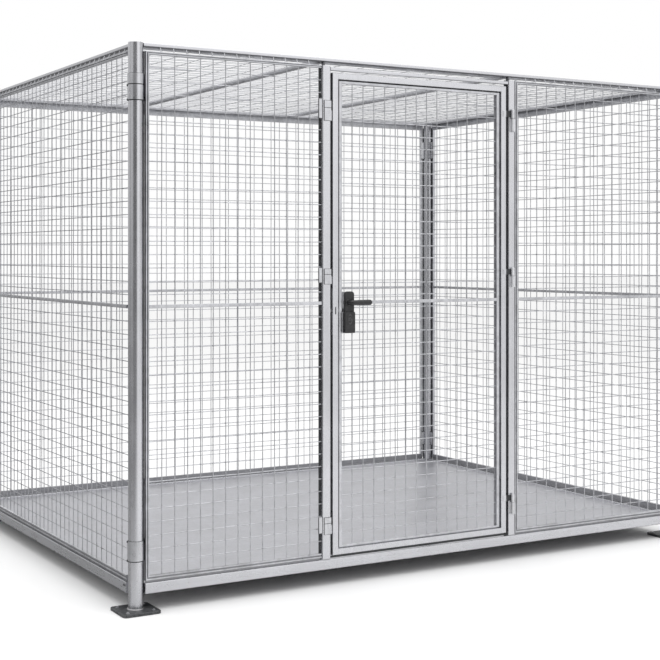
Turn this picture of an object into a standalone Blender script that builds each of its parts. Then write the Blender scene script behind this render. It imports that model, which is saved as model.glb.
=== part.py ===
"""Walk-in wire mesh container: a galvanised cage on four foot plates, with one hinged mesh door.

+X runs along the front to the right, +Y to the back and +Z up. The origin is on the ground,
at the middle of the footprint. All lengths are metres.
"""

import math

import bmesh
import bpy
from mathutils import Matrix, Vector

# Driving dimensions: the box through the corner posts' centres, and the overall height
WIDTH = 2.880
DEPTH = 2.150
HEIGHT = 2.270

TOUCH = 0.0003
WELD = 0.00001
ROUND_STEPS = 20
SMALL_STEPS = 12

POST_RADIUS = 0.030
POST_WALL = 0.0025
CAP_THICKNESS = 0.006
CAP_PLUG_DEPTH = 0.015
CAP_EDGE = 0.0025

PLATE_SIDE = 0.160
PLATE_THICKNESS = 0.012
PLATE_CORNER = 0.018
ANCHOR_SPREAD = 0.055
ANCHOR_RADIUS = 0.007

# Base ring and floor; wall depths are measured from the post centre plane, outside negative
BEAM_OUT = -0.029
BEAM_IN = 0.021
BEAM_LOW = 0.071
BEAM_TOP = 0.114
BEAM_WALL = 0.0025
BEARER_WIDTH = 0.040
SHEET_THICKNESS = 0.003
SHEET_TOP = 0.107
SHEET_EDGE = 0.0213

RAIL_HALF_DEPTH = 0.0125
RAIL_LOW = 2.247
RAIL_TOP = 2.268
RAIL_WALL = 0.002
ROOF_BEAM_WIDTH = 0.020

# Mullions, by their distance from the left corner post's centre
MULLION_WIDTH = 0.040
MULLION_OUT = -0.029
MULLION_IN = 0.011
MULLION_WALL = 0.002
LEFT_MULLION = 0.863 - WIDTH / 2
RIGHT_MULLION = 1.858 - WIDTH / 2
MULLION_FOOT = BEAM_TOP + TOUCH
MULLION_HEAD = RAIL_LOW - TOUCH

HEADER_LOW = 2.213
HEADER_TOP = 2.226
HEADER_OUT = -0.029
HEADER_IN = -0.009

# Wall panels: a welded frame with one mid rail; each mesh is a coarse lattice of the same steel volume
PANEL_OUT = -0.027
PANEL_IN = -0.009
PANEL_FOOT = 0.1145
PANEL_HEAD = 2.232
PANEL_STILE = 0.015
PANEL_BOTTOM = 0.028
PANEL_TOP = 0.012
PANEL_POST_GAP = 0.033
PANEL_MULLION_GAP = 0.004
MID_RAIL_LOW = 1.206
MID_RAIL_TOP = 1.221
CELL = 0.296
BAR = 0.008
MESH_OUT = -0.024
BURIED = 0.003
ROOF_PANEL_DEPTH = 0.015
ROOF_PANEL_EDGE = 0.0305

DOOR_LEFT = 0.893 - WIDTH / 2
DOOR_RIGHT = 1.8275 - WIDTH / 2
DOOR_FOOT = 0.129
DOOR_HEAD = 2.203
DOOR_OUT = -0.029
DOOR_IN = 0.001
DOOR_STILE = 0.029
DOOR_TOP_RAIL = 0.027
DOOR_BOTTOM_RAIL = 0.026
DOOR_WALL = 0.002
DOOR_MESH_OUT = -0.0225
DOOR_MESH_IN = -0.0085
BEAD_SIDE = 0.021
BEAD_TOP = 0.016
BEAD_BOTTOM = 0.012

# Hinges: a welded knuckle with a pin on the mullion, and a lift-off knuckle with a strap on the door
HINGE_AXIS = (1.860 - WIDTH / 2, -0.0373)
KNUCKLE_RADIUS = 0.008
HINGE_PLATE = 0.003
MULLION_LEAF = 0.017
DOOR_LEAF = 0.052
PIN_RADIUS = 0.004
PIN_RISE = 0.030
PIN_ROOT = 0.010
PIN_CLEARANCE = 0.0006
HINGE_SPANS = {"lower": (0.213, 0.270, 0.309), "middle": (1.270, 1.322, 1.360), "upper": (1.993, 2.054, 2.096)}

# Bands round the corner posts and straps over the left mullion
BAND_THICKNESS = 0.0025
BAND_EAR = 0.023
POST_BANDS = {"lower": (0.204, 0.283), "upper": (2.036, 2.141)}
STRAPS = {"lower": (0.222, 0.299), "middle": (1.295, 1.364), "upper": (1.996, 2.088)}
STRAP_TAB = 0.021
STRAP_LEG = 0.025

# Lock: a case inside the mesh, a cover plate with a deeper cylinder housing, a lever, a latch and a plug
CASE_LEFT = 0.952 - WIDTH / 2
CASE_RIGHT = 0.998 - WIDTH / 2
CASE_LOW = 1.086
CASE_TOP = 1.260
CASE_OUT = -0.024
CASE_IN = -0.004
COVER_LEFT = 0.9515 - WIDTH / 2
COVER_RIGHT = 0.9985 - WIDTH / 2
COVER_TOP = 1.262
COVER_CORNER = 0.014
COVER_OUT = -0.0343
HOUSING_LEFT = 0.9465 - WIDTH / 2
HOUSING_LOW = 1.082
HOUSING_TOP = 1.174
HOUSING_CORNER = 0.006
HOUSING_OUT = -0.0425
LEVER_PIVOT = (0.969 - WIDTH / 2, 1.214)
LEVER_OUT = -0.060
LEVER_RADIUS = 0.009
LEVER_LENGTH = 0.104
LEVER_BEND = 0.012
SPINDLE_RADIUS = 0.004
SPINDLE_HOLE = 0.0047
SPINDLE_IN = -0.012
PLUG_CENTRE = (0.972 - WIDTH / 2, 1.142)
PLUG_RADIUS = 0.0085
PLUG_HOLE = 0.0090
PLUG_OUT = -0.0435
KEY_SLOT = (0.0020, 0.0090, 0.008)
LATCH_TIP = 0.8845 - WIDTH / 2
LATCH_TAIL = 0.9605 - WIDTH / 2
LATCH_TRAVEL = 0.009
LATCH_OUT = -0.020
LATCH_IN = -0.010
LATCH_LOW = 1.173
LATCH_TOP = 1.187
LATCH_RAMP = 0.007

QUARTER = math.pi / 2
SIDES = {"front": (0, DEPTH / 2, WIDTH / 2), "right": (QUARTER, WIDTH / 2, DEPTH / 2),
         "back": (math.pi, DEPTH / 2, WIDTH / 2), "left": (-QUARTER, WIDTH / 2, DEPTH / 2)}
CORNERS = {"front_left": (-1, -1, 0), "front_right": (1, -1, QUARTER),
           "back_right": (1, 1, math.pi), "back_left": (-1, 1, -QUARTER)}


def collection(name):
    """A new collection in the scene."""
    made = bpy.data.collections.new(name)
    bpy.context.scene.collection.children.link(made)
    return made


def material(name, colour, roughness, metallic):
    """A plain surface for one kind of piece."""
    made = bpy.data.materials.new(name)
    made.use_nodes = True
    shader = made.node_tree.nodes["Principled BSDF"]
    shader.inputs["Base Color"].default_value = (*colour, 1)
    shader.inputs["Roughness"].default_value = roughness
    shader.inputs["Metallic"].default_value = metallic
    return made


def arc(centre, radius, start, sweep, steps):
    """Points along an arc, both ends included; the angles are in degrees."""
    angles = [math.radians(start + sweep * step / steps) for step in range(steps + 1)]
    return [(centre[0] + radius * math.cos(a), centre[1] + radius * math.sin(a)) for a in angles]


def circle(centre, radius, steps):
    """A closed ring of points."""
    return arc(centre, radius, 0, 360, steps)[:-1]


def rectangle(left, low, right, top):
    """A rectangle's four corners."""
    return [(left, low), (right, low), (right, top), (left, top)]


def rounded_rectangle(left, low, right, top, radius, steps):
    """A rectangle whose corners are arcs."""
    centres = [(right - radius, low + radius), (right - radius, top - radius),
               (left + radius, top - radius), (left + radius, low + radius)]
    points = []
    for number, centre in enumerate(centres):
        points += arc(centre, radius, -90 + 90 * number, 90, steps)
    return points


def box_tube(half_width, half_height, wall):
    """The outlines of a box tube's section."""
    return [rectangle(-half_width, -half_height, half_width, half_height),
            rectangle(wall - half_width, wall - half_height, half_width - wall, half_height - wall)]


def as_mesh(obj):
    """An object's evaluated shape as a plain mesh object, with a curve's loose caps welded."""
    graph = bpy.context.evaluated_depsgraph_get()
    mesh = bpy.data.meshes.new_from_object(obj.evaluated_get(graph))
    name = obj.name
    place = obj.matrix_world.copy()
    bpy.data.objects.remove(obj)
    shape = bmesh.new()
    shape.from_mesh(mesh)
    bmesh.ops.remove_doubles(shape, verts=shape.verts, dist=WELD)
    bmesh.ops.recalc_face_normals(shape, faces=shape.faces)
    shape.to_mesh(mesh)
    shape.free()
    made = bpy.data.objects.new(name, mesh)
    made.matrix_world = place
    CAGE.objects.link(made)
    return made


def plate(name, outlines, thickness):
    """A flat piece: the first outline is its rim and the others are its holes."""
    curve = bpy.data.curves.new(name, "CURVE")
    curve.dimensions = "2D"
    curve.fill_mode = "BOTH"
    curve.extrude = thickness / 2
    for outline in outlines:
        spline = curve.splines.new("POLY")
        spline.points.add(len(outline) - 1)
        for point, (x, y) in zip(spline.points, outline):
            point.co = (x, y, 0, 1)
        spline.use_cyclic_u = True
    made = bpy.data.objects.new(name, curve)
    CAGE.objects.link(made)
    return as_mesh(made)


def block(name, low, high):
    """A box between two opposite corners."""
    low = Vector(low)
    high = Vector(high)
    shape = bmesh.new()
    bmesh.ops.create_cube(shape, size=1)
    bmesh.ops.scale(shape, vec=high - low, verts=shape.verts)
    bmesh.ops.translate(shape, vec=(low + high) / 2, verts=shape.verts)
    mesh = bpy.data.meshes.new(name)
    shape.to_mesh(mesh)
    shape.free()
    made = bpy.data.objects.new(name, mesh)
    CAGE.objects.link(made)
    return made


def combine(target, tool, operation):
    """Join the tool to the target, or cut it away, and drop the tool."""
    bpy.context.view_layer.update()
    change = target.modifiers.new(operation.title(), "BOOLEAN")
    change.operation = operation
    change.solver = "EXACT"
    change.object = tool
    made = as_mesh(target)
    bpy.data.objects.remove(tool)
    return made


def finish(obj, look, smooth=False, parent=None):
    """Give a piece its material and shading, and hang it on the body it moves with."""
    obj.data.materials.clear()
    obj.data.materials.append(look)
    if smooth:
        obj.data.shade_smooth()
        obj.data.set_sharp_from_angle(angle=math.radians(35))
    if parent:
        bpy.context.view_layer.update()
        place = obj.matrix_world.copy()
        obj.parent = parent
        obj.matrix_parent_inverse = parent.matrix_world.inverted()
        obj.matrix_world = place
    return obj


def pivot(name, place, parent=None):
    """An empty on a joint's axis."""
    made = bpy.data.objects.new(name, None)
    CAGE.objects.link(made)
    made.location = place
    bpy.context.view_layer.update()
    if parent:
        made.parent = parent
        made.matrix_parent_inverse = parent.matrix_world.inverted()
        bpy.context.view_layer.update()
    return made


def at_side(side, x, y, z):
    """A point given along, through and up one wall, as world coordinates."""
    turn, distance, _ = SIDES[side]
    return Matrix.Rotation(turn, 4, "Z") @ Vector((x, y - distance, z))


def stand(obj, side, depth):
    """Stand a flat piece, drawn in x and z, in a wall at the given depth."""
    obj.location = at_side(side, 0, depth, 0)
    obj.rotation_euler = (QUARTER, 0, SIDES[side][0])
    bpy.context.view_layer.update()
    return obj


def beam(name, section, start, end, look):
    """A straight length of section between two points."""
    run = end - start
    made = plate(name, section, run.length)
    made.location = (start + end) / 2
    made.rotation_euler = run.to_track_quat("Z", "Y").to_euler()
    return finish(made, look)


def round_bar(name, radius, low, high, steps):
    """A solid round bar along Z, from low to high."""
    shape = bmesh.new()
    bmesh.ops.create_cone(shape, cap_ends=True, segments=steps, radius1=radius, radius2=radius, depth=high - low)
    bmesh.ops.translate(shape, vec=(0, 0, (low + high) / 2), verts=shape.verts)
    mesh = bpy.data.meshes.new(name)
    shape.to_mesh(mesh)
    shape.free()
    made = bpy.data.objects.new(name, mesh)
    CAGE.objects.link(made)
    return made


def facing_bar(name, radius, centre, outer, inner, steps):
    """A round bar that runs through the front wall at centre (x, z)."""
    made = round_bar(name, radius, -inner, -outer, steps)
    made.rotation_euler = (QUARTER, 0, 0)
    made.location = at_side("front", centre[0], 0, centre[1])
    bpy.context.view_layer.update()
    return made


def front_block(name, left, right, outer, inner, low, top):
    """A box in the front wall."""
    return block(name, at_side("front", left, outer, low), at_side("front", right, inner, top))


def lattice(name, openings, thickness):
    """The mesh of one panel: a grid whose odd cells are open, its edges buried in the frame."""
    columns = cell_lines([(opening[0], opening[2]) for opening in openings[:1]])
    rows = cell_lines([(opening[1], opening[3]) for opening in openings])
    across = len(columns) - 1
    upward = len(rows) - 1
    shape = bmesh.new()
    bmesh.ops.create_grid(shape, x_segments=across, y_segments=upward, size=0.5)
    open_cells = []
    for face in shape.faces:
        column = int((face.calc_center_median().x + 0.5) * across)
        row = int((face.calc_center_median().y + 0.5) * upward)
        if column % 2 and row % 2:
            open_cells.append(face)
    bmesh.ops.delete(shape, geom=open_cells, context="FACES")
    for corner in shape.verts:
        corner.co.x = columns[round((corner.co.x + 0.5) * across)]
        corner.co.y = rows[round((corner.co.y + 0.5) * upward)]
        corner.co.z = -thickness / 2
    raised = bmesh.ops.extrude_face_region(shape, geom=shape.faces[:], use_keep_orig=True)
    top = [piece for piece in raised["geom"] if isinstance(piece, bmesh.types.BMVert)]
    bmesh.ops.translate(shape, vec=(0, 0, thickness), verts=top)
    bmesh.ops.recalc_face_normals(shape, faces=shape.faces)
    mesh = bpy.data.meshes.new(name)
    shape.to_mesh(mesh)
    shape.free()
    made = bpy.data.objects.new(name, mesh)
    CAGE.objects.link(made)
    return made


def cell_lines(stretches):
    """The cells' edges along one direction, between two lines that are buried in the frame."""
    lines = [stretches[0][0] - 2 * BURIED]
    for start, end in stretches:
        count = math.ceil((end - start) / CELL)
        for number in range(count):
            low = start + (end - start) * number / count
            high = start + (end - start) * (number + 1) / count
            lines.append(start - BURIED if number == 0 else low + BAR / 2)
            lines.append(end + BURIED if number == count - 1 else high - BAR / 2)
    return lines + [stretches[-1][1] + 2 * BURIED]


def mesh_panel(name, rim, openings, depth, mesh_shift):
    """A welded frame and its mesh as one flat grille; mesh_shift moves the mesh towards the outside."""
    frame = plate(name, [rectangle(*rim)] + [rectangle(*opening) for opening in openings], depth)
    mesh = lattice("mesh", openings, BAR)
    mesh.location.z = mesh_shift
    return combine(frame, mesh, "UNION")


def corner_posts():
    """Four round tubes with their foot plates, caps and clamp bands."""
    top = HEIGHT - CAP_THICKNESS
    foot = PLATE_THICKNESS + TOUCH
    section = [circle((0, 0), POST_RADIUS, ROUND_STEPS), circle((0, 0), POST_RADIUS - POST_WALL, ROUND_STEPS)]
    for corner, (across, along, turn) in CORNERS.items():
        centre = Vector((across * WIDTH / 2, along * DEPTH / 2, 0))
        post = plate("corner_post_" + corner, section, top - foot)
        post.location = centre + Vector((0, 0, (top + foot) / 2))
        finish(post, GALVANISED, smooth=True)
        foot_plate("foot_plate_" + corner, centre)
        post_cap("post_cap_" + corner, centre)
        for level, (low, high) in POST_BANDS.items():
            post_band("post_clamp_" + corner + "_" + level, centre, turn, low, high)


def foot_plate(name, centre):
    """A square plate with rounded corners and four anchor holes."""
    half = PLATE_SIDE / 2
    holes = [circle((x, y), ANCHOR_RADIUS, 8) for x in (-ANCHOR_SPREAD, ANCHOR_SPREAD)
             for y in (-ANCHOR_SPREAD, ANCHOR_SPREAD)]
    made = plate(name, [rounded_rectangle(-half, -half, half, half, PLATE_CORNER, 3)] + holes, PLATE_THICKNESS)
    made.location = centre + Vector((0, 0, PLATE_THICKNESS / 2))
    finish(made, DARK_STEEL)


def post_cap(name, centre):
    """A turned cap with a plug that sits inside the tube."""
    outer = POST_RADIUS - 0.0005
    plug = POST_RADIUS - POST_WALL - 2 * TOUCH
    under = HEIGHT - CAP_THICKNESS + TOUCH
    profile = [(0, HEIGHT), (outer - CAP_EDGE, HEIGHT), (outer, HEIGHT - CAP_EDGE), (outer, under),
               (plug, under), (plug, under - CAP_PLUG_DEPTH), (0, under - CAP_PLUG_DEPTH)]
    mesh = bpy.data.meshes.new(name)
    mesh.from_pydata([(x, 0, z) for x, z in profile], [(n, n + 1) for n in range(len(profile) - 1)], [])
    made = bpy.data.objects.new(name, mesh)
    CAGE.objects.link(made)
    turned = made.modifiers.new("Turned", "SCREW")
    turned.steps = ROUND_STEPS
    turned.render_steps = ROUND_STEPS
    turned.use_merge_vertices = True
    turned.merge_threshold = WELD
    made = as_mesh(made)
    made.location = centre
    finish(made, GALVANISED, smooth=True)


def post_band(name, centre, turn, low, high):
    """A band round a post's outer side, with a bolting ear behind each wall panel."""
    inner = POST_RADIUS + TOUCH
    outer = inner + BAND_THICKNESS
    reach = POST_RADIUS + BAND_EAR
    steps = ROUND_STEPS * 3 // 4
    first_ear = [(0, reach), (BAND_THICKNESS, reach), (BAND_THICKNESS, inner)]
    second_ear = [(inner, BAND_THICKNESS), (reach, BAND_THICKNESS), (reach, 0)]
    outline = arc((0, 0), outer, 0, -270, steps) + first_ear + arc((0, 0), inner, 90, 270, steps) + second_ear
    made = plate(name, [outline], high - low)
    made.location = centre + Vector((0, 0, (low + high) / 2))
    made.rotation_euler = (0, 0, turn)
    finish(made, GALVANISED, smooth=True)


def base():
    """The ring of base beams, two bearers and the floor sheet."""
    middle = (BEAM_OUT + BEAM_IN) / 2
    level = (BEAM_LOW + BEAM_TOP) / 2
    section = box_tube((BEAM_IN - BEAM_OUT) / 2, (BEAM_TOP - BEAM_LOW) / 2, BEAM_WALL)
    for side, (_, _, half) in SIDES.items():
        end = half - POST_RADIUS - 2 * TOUCH
        beam("base_beam_" + side, section, at_side(side, -end, middle, level), at_side(side, end, middle, level),
             GALVANISED)
    under = SHEET_TOP - SHEET_THICKNESS - TOUCH
    level = (BEAM_LOW + under) / 2
    section = box_tube(BEARER_WIDTH / 2, (under - BEAM_LOW) / 2, BEAM_WALL)
    reach = DEPTH / 2 - BEAM_IN - TOUCH
    for name, x in (("left", LEFT_MULLION), ("right", RIGHT_MULLION)):
        beam("floor_bearer_" + name, section, Vector((x, -reach, level)), Vector((x, reach, level)), GALVANISED)
    floor_sheet()


def floor_sheet():
    """One smooth sheet on the bearers, inside the ring of beams and notched round the posts."""
    right = WIDTH / 2 - SHEET_EDGE
    back = DEPTH / 2 - SHEET_EDGE
    notch = POST_RADIUS + 2 * TOUCH - SHEET_EDGE
    corner = [(right - notch, -back), (right - notch, notch - back), (right, notch - back)]
    outline = []
    for across, along in ((1, 1), (1, -1), (-1, -1), (-1, 1)):
        points = [(across * x, along * y) for x, y in corner]
        outline += points if across * along > 0 else list(reversed(points))
    made = plate("floor_sheet", [outline], SHEET_THICKNESS)
    made.location.z = SHEET_TOP - SHEET_THICKNESS / 2
    finish(made, FLOOR_STEEL)


def roof():
    """The top rails, two beams between them and three mesh panels."""
    level = (RAIL_LOW + RAIL_TOP) / 2
    half_height = (RAIL_TOP - RAIL_LOW) / 2
    section = box_tube(RAIL_HALF_DEPTH, half_height, RAIL_WALL)
    for side, (_, _, half) in SIDES.items():
        end = half - POST_RADIUS - 2 * TOUCH
        beam("top_rail_" + side, section, at_side(side, -end, 0, level), at_side(side, end, 0, level), GALVANISED)
    section = box_tube(ROOF_BEAM_WIDTH / 2, half_height, RAIL_WALL)
    reach = DEPTH / 2 - RAIL_HALF_DEPTH - TOUCH
    for name, x in (("left", LEFT_MULLION), ("right", RIGHT_MULLION)):
        beam("roof_beam_" + name, section, Vector((x, -reach, level)), Vector((x, reach, level)), GALVANISED)
    outer = WIDTH / 2 - ROOF_PANEL_EDGE
    beside = ROOF_BEAM_WIDTH / 2 + TOUCH
    bays = {"left": (-outer, LEFT_MULLION - beside), "middle": (LEFT_MULLION + beside, RIGHT_MULLION - beside),
            "right": (RIGHT_MULLION + beside, outer)}
    back = DEPTH / 2 - ROOF_PANEL_EDGE
    for name, (left, right) in bays.items():
        opening = (left + PANEL_STILE, PANEL_STILE - back, right - PANEL_STILE, back - PANEL_STILE)
        made = mesh_panel("roof_panel_" + name, (left, -back, right, back), [opening], ROOF_PANEL_DEPTH, 0)
        made.location.z = RAIL_LOW + 2 * TOUCH + ROOF_PANEL_DEPTH / 2
        finish(made, WIRE_STEEL)


def wall_panel(name, side, left, right):
    """A mesh panel with one mid rail, standing on a base beam."""
    low = PANEL_FOOT + PANEL_BOTTOM
    top = PANEL_HEAD - PANEL_TOP
    inner_left = left + PANEL_STILE
    inner_right = right - PANEL_STILE
    openings = [(inner_left, low, inner_right, MID_RAIL_LOW), (inner_left, MID_RAIL_TOP, inner_right, top)]
    middle = (PANEL_OUT + PANEL_IN) / 2
    shift = middle - (MESH_OUT + BAR / 2)
    made = mesh_panel(name, (left, PANEL_FOOT, right, PANEL_HEAD), openings, PANEL_IN - PANEL_OUT, shift)
    finish(stand(made, side, middle), WIRE_STEEL)


def walls():
    """Five fixed mesh panels, two mullions and the bar over the door."""
    for side in ("right", "back", "left"):
        edge = SIDES[side][2] - PANEL_POST_GAP
        wall_panel("wall_panel_" + side, side, -edge, edge)
    edge = WIDTH / 2 - PANEL_POST_GAP
    beside = MULLION_WIDTH / 2 + PANEL_MULLION_GAP
    wall_panel("wall_panel_front_left", "front", -edge, LEFT_MULLION - beside)
    wall_panel("wall_panel_front_right", "front", RIGHT_MULLION + beside, edge)
    middle = (MULLION_OUT + MULLION_IN) / 2
    section = box_tube(MULLION_WIDTH / 2, (MULLION_IN - MULLION_OUT) / 2, MULLION_WALL)
    for name, x in (("left", LEFT_MULLION), ("right", RIGHT_MULLION)):
        made = plate("mullion_" + name, section, MULLION_HEAD - MULLION_FOOT)
        made.location = at_side("front", x, middle, (MULLION_HEAD + MULLION_FOOT) / 2)
        finish(made, GALVANISED)
    middle = (HEADER_OUT + HEADER_IN) / 2
    level = (HEADER_LOW + HEADER_TOP) / 2
    section = box_tube((HEADER_IN - HEADER_OUT) / 2, (HEADER_TOP - HEADER_LOW) / 2, RAIL_WALL)
    left = LEFT_MULLION + MULLION_WIDTH / 2 + TOUCH
    right = RIGHT_MULLION - MULLION_WIDTH / 2 - TOUCH
    beam("door_header", section, at_side("front", left, middle, level), at_side("front", right, middle, level),
         GALVANISED)


def mullion_straps():
    """Bent straps that clamp the left panel to the left mullion."""
    left = LEFT_MULLION - MULLION_WIDTH / 2 - TOUCH
    right = LEFT_MULLION + MULLION_WIDTH / 2 + TOUCH
    back = MULLION_OUT - TOUCH
    front = back - HINGE_PLATE
    tip = back + STRAP_LEG
    thin = BAND_THICKNESS
    outline = [(left - STRAP_TAB, front), (right + thin, front), (right + thin, tip), (right, tip), (right, back),
               (left, back), (left, tip), (left - thin, tip), (left - thin, back), (left - STRAP_TAB, back)]
    for level, (low, high) in STRAPS.items():
        made = plate("mullion_clamp_" + level, [outline], high - low)
        made.location = at_side("front", 0, 0, (low + high) / 2)
        finish(made, GALVANISED)


def knuckle_outline(reach):
    """A knuckle's section about its axis, with a flat leaf reaching along +X."""
    face = KNUCKLE_RADIUS - HINGE_PLATE
    meet = math.degrees(math.asin(face / KNUCKLE_RADIUS))
    return [(reach, KNUCKLE_RADIUS)] + arc((0, 0), KNUCKLE_RADIUS, 90, 270 + meet, 14) + [(reach, face)]


def hinges(door):
    """Three lift-off hinges: the pin half is on the mullion and the bored half is on the door."""
    x, y = HINGE_AXIS
    door_outline = [(-px, py) for px, py in reversed(knuckle_outline(DOOR_LEAF))]
    bore = circle((0, 0), PIN_RADIUS + PIN_CLEARANCE, SMALL_STEPS)
    for level, (low, split, high) in HINGE_SPANS.items():
        fixed = plate("hinge_mullion_" + level, [knuckle_outline(MULLION_LEAF)], split - low)
        fixed.location = at_side("front", x, y, (low + split) / 2)
        pin = round_bar("pin", PIN_RADIUS, split - PIN_ROOT, split + PIN_RISE, SMALL_STEPS)
        pin.location = at_side("front", x, y, 0)
        finish(combine(fixed, pin, "UNION"), GALVANISED, smooth=True)
        bottom = split + TOUCH
        moving = plate("hinge_door_" + level, [door_outline, bore], high - bottom)
        moving.location = at_side("front", x, y, (bottom + high) / 2)
        finish(moving, GALVANISED, smooth=True, parent=door)


def door_leaf(door):
    """The hollow tube frame of the door and the mesh panel inside it."""
    middle = (DOOR_OUT + DOOR_IN) / 2
    rim = (DOOR_LEFT, DOOR_FOOT, DOOR_RIGHT, DOOR_HEAD)
    opening = (DOOR_LEFT + DOOR_STILE, DOOR_FOOT + DOOR_BOTTOM_RAIL, DOOR_RIGHT - DOOR_STILE,
               DOOR_HEAD - DOOR_TOP_RAIL)
    depth = DOOR_IN - DOOR_OUT
    grow = (-DOOR_WALL, -DOOR_WALL, DOOR_WALL, DOOR_WALL)
    hollow_rim = [edge - step for edge, step in zip(rim, grow)]
    hollow_opening = [edge + step for edge, step in zip(opening, grow)]
    frame = stand(plate("door_frame", [rectangle(*rim), rectangle(*opening)], depth), "front", middle)
    hollow = plate("hollow", [rectangle(*hollow_rim), rectangle(*hollow_opening)], depth - 2 * DOOR_WALL)
    frame = combine(frame, stand(hollow, "front", middle), "DIFFERENCE")
    frame = combine(frame, latch_way(), "DIFFERENCE")
    finish(frame, GALVANISED, parent=door)

    left, low, right, top = (opening[0] + TOUCH, opening[1] + TOUCH, opening[2] - TOUCH, opening[3] - TOUCH)
    lower = (left + BEAD_SIDE, low + BEAD_BOTTOM, right - BEAD_SIDE, MID_RAIL_LOW)
    upper = (left + BEAD_SIDE, MID_RAIL_TOP, right - BEAD_SIDE, top - BEAD_TOP)
    panel = mesh_panel("door_panel", (left, low, right, top), [lower, upper], DOOR_MESH_IN - DOOR_MESH_OUT, 0)
    panel = stand(panel, "front", (DOOR_MESH_OUT + DOOR_MESH_IN) / 2)
    pocket = front_block("pocket", CASE_LEFT - TOUCH, CASE_RIGHT + TOUCH, DOOR_OUT, DOOR_IN, CASE_LOW - TOUCH,
                         CASE_TOP + TOUCH)
    panel = combine(panel, pocket, "DIFFERENCE")
    panel = combine(panel, latch_way(), "DIFFERENCE")
    finish(panel, WIRE_STEEL, parent=door)


def latch_way():
    """The slot that the latch bolt slides in, from the door's edge into the lock case."""
    slack = 2 * TOUCH
    return front_block("latch_way", LATCH_TIP, LATCH_TAIL + LATCH_TRAVEL + slack, LATCH_OUT - slack, LATCH_IN + slack,
                       LATCH_LOW - slack, LATCH_TOP + slack)


def lock(door):
    """The lock case, its cover, the cylinder plug, the lever and the latch bolt."""
    case = front_block("lock_case", CASE_LEFT, CASE_RIGHT, CASE_OUT, CASE_IN, CASE_LOW, CASE_TOP)
    case = combine(case, latch_way(), "DIFFERENCE")
    hole = facing_bar("hole", SPINDLE_HOLE, LEVER_PIVOT, CASE_OUT - BAR, SPINDLE_IN + TOUCH, SMALL_STEPS)
    finish(combine(case, hole, "DIFFERENCE"), GALVANISED, parent=door)
    lock_cover(door)

    plug = facing_bar("lock_plug", PLUG_RADIUS, PLUG_CENTRE, PLUG_OUT, CASE_OUT - 2 * TOUCH, ROUND_STEPS)
    width, height, depth = KEY_SLOT
    x, z = PLUG_CENTRE
    slot = front_block("slot", x - width / 2, x + width / 2, PLUG_OUT - depth, PLUG_OUT + depth, z - height / 2,
                       z + height / 2)
    turning = pivot("plug_axis", at_side("front", x, PLUG_OUT, z), door)
    finish(combine(plug, slot, "DIFFERENCE"), PLUG_STEEL, smooth=True, parent=turning)

    lever_handle(door)
    latch_bolt(door)


def lock_cover(door):
    """A plate with a rounded head, and the deeper cylinder housing below it."""
    back = CASE_OUT - TOUCH
    upper = rounded_rectangle(COVER_LEFT, HOUSING_LOW + COVER_CORNER, COVER_RIGHT, COVER_TOP, COVER_CORNER, 4)
    cover = stand(plate("lock_cover", [upper], back - COVER_OUT), "front", (back + COVER_OUT) / 2)
    lower = rounded_rectangle(HOUSING_LEFT, HOUSING_LOW, COVER_RIGHT + TOUCH, HOUSING_TOP, HOUSING_CORNER, 3)
    housing = stand(plate("housing", [lower], back - HOUSING_OUT), "front", (back + HOUSING_OUT) / 2)
    cover = combine(cover, housing, "UNION")
    through = back + BAR
    hole = facing_bar("hole", SPINDLE_HOLE, LEVER_PIVOT, HOUSING_OUT - BAR, through, SMALL_STEPS)
    cover = combine(cover, hole, "DIFFERENCE")
    hole = facing_bar("hole", PLUG_HOLE, PLUG_CENTRE, HOUSING_OUT - BAR, through, ROUND_STEPS)
    finish(combine(cover, hole, "DIFFERENCE"), BLACK, smooth=True, parent=door)


def lever_handle(door):
    """A round lever that leaves the cover square on, bends and points to the hinge side."""
    x, z = LEVER_PIVOT
    curve = bpy.data.curves.new("lever_handle", "CURVE")
    curve.dimensions = "3D"
    curve.bevel_depth = LEVER_RADIUS
    curve.bevel_resolution = 2
    curve.use_fill_caps = True
    bend = arc((LEVER_BEND, LEVER_OUT + LEVER_BEND), LEVER_BEND, 180, 90, 4)
    route = [(0, COVER_OUT - 2 * TOUCH)] + bend + [(LEVER_LENGTH, LEVER_OUT)]
    spline = curve.splines.new("POLY")
    spline.points.add(len(route) - 1)
    for point, (px, py) in zip(spline.points, route):
        point.co = (px, py, 0, 1)
    lever = bpy.data.objects.new("lever_handle", curve)
    CAGE.objects.link(lever)
    lever.location = at_side("front", x, 0, z)
    bpy.context.view_layer.update()
    lever = as_mesh(lever)
    spindle = facing_bar("spindle", SPINDLE_RADIUS, LEVER_PIVOT, LEVER_OUT + LEVER_RADIUS, SPINDLE_IN, SMALL_STEPS)
    turning = pivot("lever_axis", at_side("front", x, LEVER_OUT, z), door)
    finish(combine(lever, spindle, "UNION"), BLACK, smooth=True, parent=turning)


def latch_bolt(door):
    """A flat bolt with a ramp on the side that meets the mullion as the door closes."""
    outline = [(LATCH_TIP, LATCH_OUT), (LATCH_TAIL, LATCH_OUT), (LATCH_TAIL, LATCH_IN),
               (LATCH_TIP + LATCH_RAMP, LATCH_IN), (LATCH_TIP, (LATCH_OUT + LATCH_IN) / 2)]
    bolt = plate("latch_bolt", [outline], LATCH_TOP - LATCH_LOW)
    bolt.location = at_side("front", 0, 0, (LATCH_LOW + LATCH_TOP) / 2)
    finish(bolt, PLUG_STEEL, parent=door)


for leftover in list(bpy.data.objects):
    bpy.data.objects.remove(leftover)

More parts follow.
